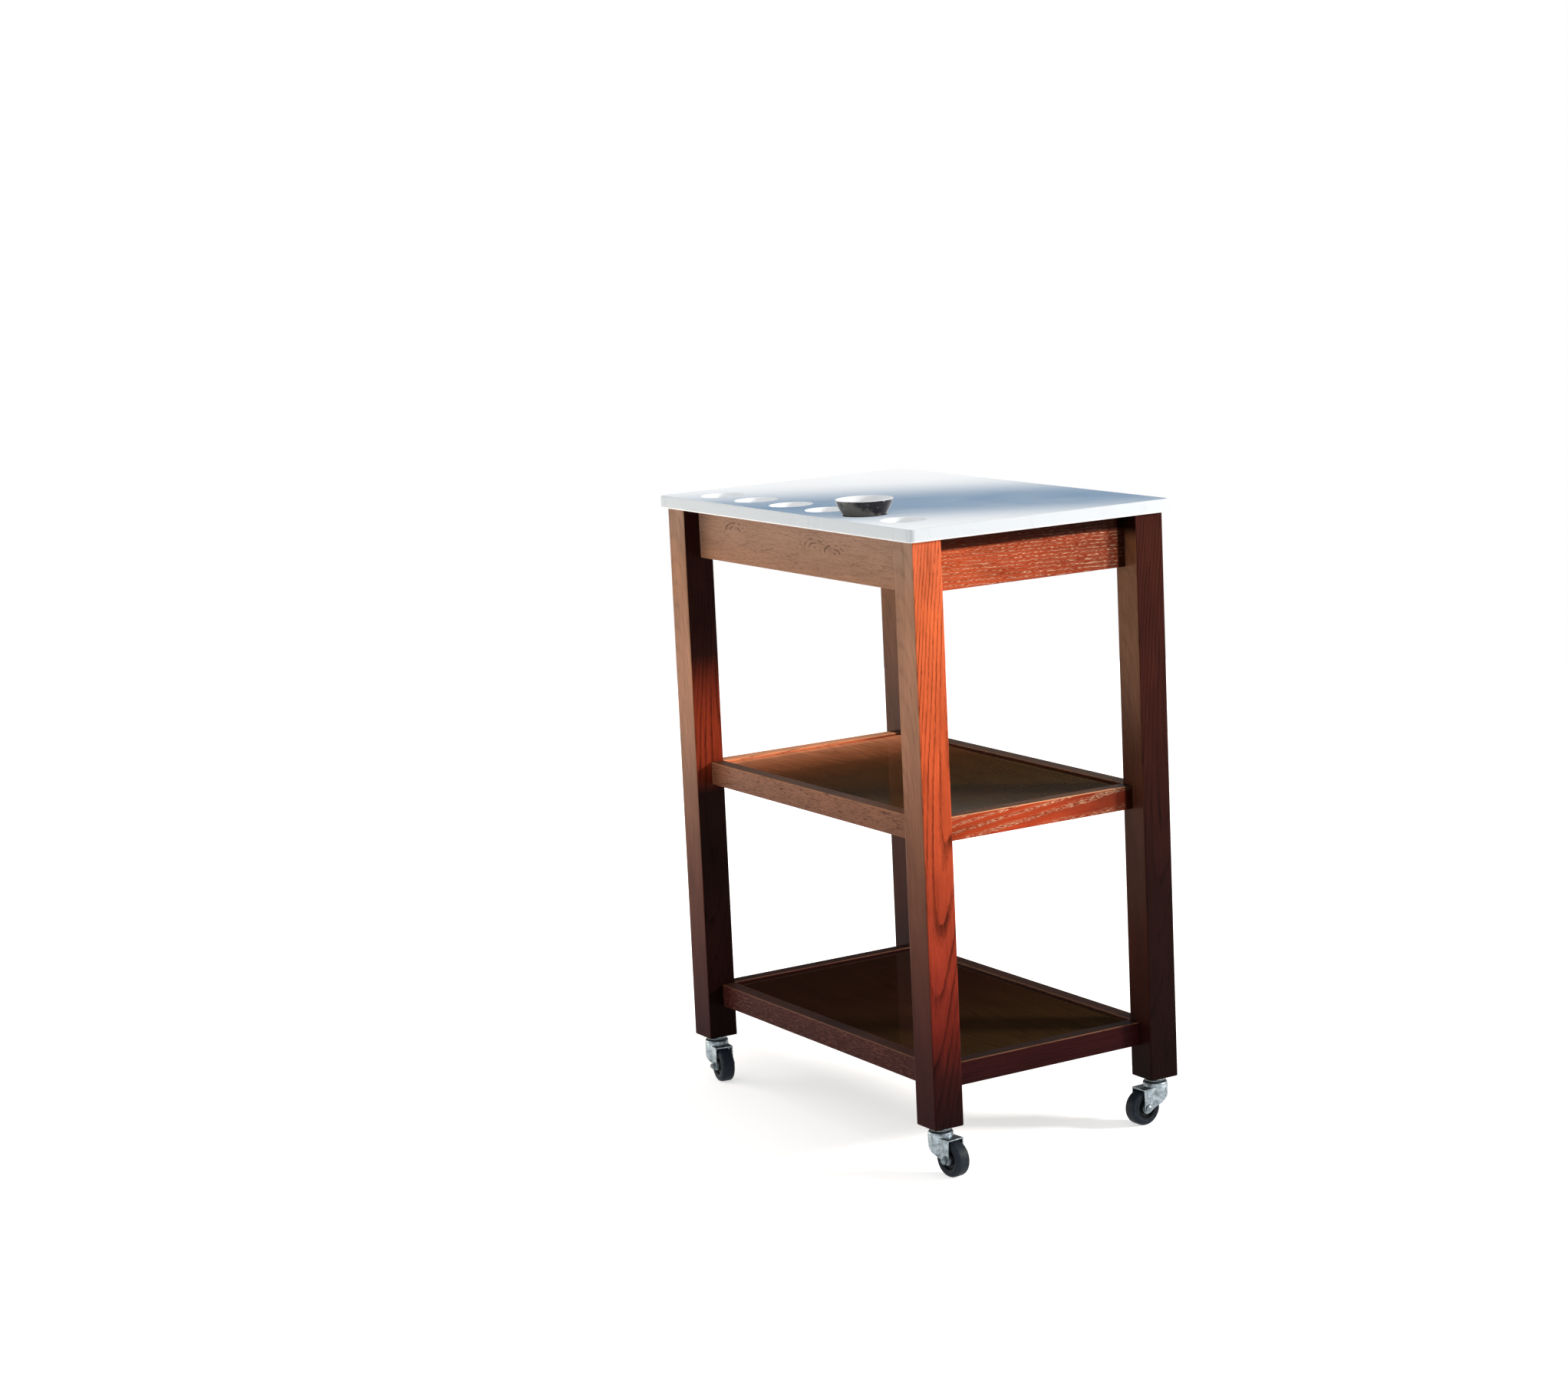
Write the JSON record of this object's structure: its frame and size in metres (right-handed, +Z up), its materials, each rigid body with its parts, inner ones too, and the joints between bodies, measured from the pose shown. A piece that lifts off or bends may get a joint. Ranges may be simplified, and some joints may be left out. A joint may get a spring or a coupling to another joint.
{
  "type": "serving trolley",
  "caption": "Wooden serving trolley on swivel castors: white stone top with a row of round recesses for small bowls, over framed wooden shelves.",
  "frame": {"origin": "on the floor, under the middle of the trolley's outline", "axes": "+Z up, +X along the long side, -Y towards the side with the row of recesses"},
  "size_m": [0.7146, 0.4376, 0.9223],
  "materials": {
    "stained_wood": "red-brown stained ash, satin lacquer",
    "panel_veneer": "dark stained veneer, satin lacquer",
    "plain_wood": "unfinished softwood",
    "white_quartz": "polished",
    "two_tone_glaze": "dark gloss outside, white inside",
    "zinc_plate": "zinc plated",
    "bearing_steel": "bright",
    "hub_plastic": "moulded",
    "tyre_rubber": "smooth"
  },
  "bodies": {
    "frame": {"stone_top": "white_quartz", "leg_front_left": "stained_wood", "leg_front_right": "stained_wood", "leg_back_left": "stained_wood", "leg_back_right": "stained_wood", "apron_front": "stained_wood", "apron_back": "stained_wood", "apron_left": "stained_wood", "apron_right": "stained_wood", "mid_rail_front": "stained_wood", "mid_rail_back": "stained_wood", "mid_rail_left": "stained_wood", "mid_rail_right": "stained_wood", "low_rail_front": "stained_wood", "low_rail_back": "stained_wood", "low_rail_left": "stained_wood", "low_rail_right": "stained_wood", "mid_shelf_panel": "panel_veneer", "low_shelf_panel": "panel_veneer", "corner_block_front_left": "plain_wood", "corner_block_front_right": "plain_wood", "corner_block_back_left": "plain_wood", "corner_block_back_right": "plain_wood", "castor_front_left_socket": "zinc_plate", "castor_front_left_race": "zinc_plate", "castor_front_right_socket": "zinc_plate", "castor_front_right_race": "zinc_plate", "castor_back_left_socket": "zinc_plate", "castor_back_left_race": "zinc_plate", "castor_back_right_socket": "zinc_plate", "castor_back_right_race": "zinc_plate"},
    "bowl": {"bowl": "two_tone_glaze"},
    "castor_front_left_swivel": {"castor_front_left_fork": "zinc_plate", "castor_front_left_ball_cage": "bearing_steel", "castor_front_left_axle_bolt": "zinc_plate", "castor_front_left_axle_nut": "zinc_plate", "castor_front_left_axle_bush": "bearing_steel"},
    "castor_front_left_wheel": {"castor_front_left_hub": "hub_plastic", "castor_front_left_tyre": "tyre_rubber"},
    "castor_front_right_swivel": {"castor_front_right_fork": "zinc_plate", "castor_front_right_ball_cage": "bearing_steel", "castor_front_right_axle_bolt": "zinc_plate", "castor_front_right_axle_nut": "zinc_plate", "castor_front_right_axle_bush": "bearing_steel"},
    "castor_front_right_wheel": {"castor_front_right_hub": "hub_plastic", "castor_front_right_tyre": "tyre_rubber"},
    "castor_back_left_swivel": {"castor_back_left_fork": "zinc_plate", "castor_back_left_ball_cage": "bearing_steel", "castor_back_left_axle_bolt": "zinc_plate", "castor_back_left_axle_nut": "zinc_plate", "castor_back_left_axle_bush": "bearing_steel"},
    "castor_back_left_wheel": {"castor_back_left_hub": "hub_plastic", "castor_back_left_tyre": "tyre_rubber"},
    "castor_back_right_swivel": {"castor_back_right_fork": "zinc_plate", "castor_back_right_ball_cage": "bearing_steel", "castor_back_right_axle_bolt": "zinc_plate", "castor_back_right_axle_nut": "zinc_plate", "castor_back_right_axle_bush": "bearing_steel"},
    "castor_back_right_wheel": {"castor_back_right_hub": "hub_plastic", "castor_back_right_tyre": "tyre_rubber"}
  },
  "joints": [
    {"name": "bowl_lift", "type": "slide", "parent": "frame", "child": "bowl", "axis": [0, 0, 1], "range_m": [0, 0.15]},
    {"name": "castor_front_left_swivel_turn", "type": "hinge", "parent": "frame", "child": "castor_front_left_swivel", "pos_m": [-0.3065, -0.186, 0.06], "axis": [0, 0, 1], "continuous": true},
    {"name": "castor_front_left_wheel_spin", "type": "hinge", "parent": "castor_front_left_swivel", "child": "castor_front_left_wheel", "pos_m": [-0.28188, -0.19034, 0.02531], "axis": [0.1736, 0.9848, 0], "continuous": true},
    {"name": "castor_front_right_swivel_turn", "type": "hinge", "parent": "frame", "child": "castor_front_right_swivel", "pos_m": [0.3065, -0.186, 0.06], "axis": [0, 0, 1], "continuous": true},
    {"name": "castor_front_right_wheel_spin", "type": "hinge", "parent": "castor_front_right_swivel", "child": "castor_front_right_wheel", "pos_m": [0.33136, -0.18339, 0.02531], "axis": [-0.1045, 0.9945, 0], "continuous": true},
    {"name": "castor_back_left_swivel_turn", "type": "hinge", "parent": "frame", "child": "castor_back_left_swivel", "pos_m": [-0.3065, 0.186, 0.06], "axis": [0, 0, 1], "continuous": true},
    {"name": "castor_back_left_wheel_spin", "type": "hinge", "parent": "castor_back_left_swivel", "child": "castor_back_left_wheel", "pos_m": [-0.33136, 0.18339, 0.02531], "axis": [0.1045, -0.9945, 0], "continuous": true},
    {"name": "castor_back_right_swivel_turn", "type": "hinge", "parent": "frame", "child": "castor_back_right_swivel", "pos_m": [0.3065, 0.186, 0.06], "axis": [0, 0, 1], "continuous": true},
    {"name": "castor_back_right_wheel_spin", "type": "hinge", "parent": "castor_back_right_swivel", "child": "castor_back_right_wheel", "pos_m": [0.30781, 0.16103, 0.02531], "axis": [0.9986, 0.0523, 0], "continuous": true}
  ]
}
